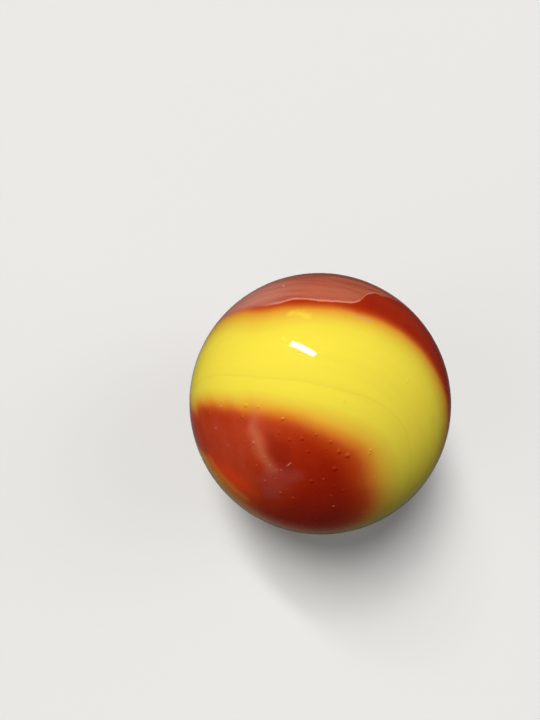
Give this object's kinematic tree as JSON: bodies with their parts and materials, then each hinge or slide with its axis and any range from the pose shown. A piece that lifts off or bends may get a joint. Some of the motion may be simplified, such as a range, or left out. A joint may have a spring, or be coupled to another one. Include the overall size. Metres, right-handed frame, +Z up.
{
  "type": "glass marble",
  "caption": "Solid glass play marble with an opaque yellow ribbon swirled through clear deep-red glass.",
  "frame": {"origin": "centre of the ball", "axes": "+Z up out of the table; the eye of the swirl lies towards -Y and a little -X, above the equator"},
  "size_m": [0.016, 0.016, 0.016],
  "materials": {
    "swirled_glass": "fire-polished; clear deep-red glass with an opaque yellow ribbon and a milky veil"
  },
  "bodies": {
    "root": {"marble": "swirled_glass"}
  },
  "joints": []
}
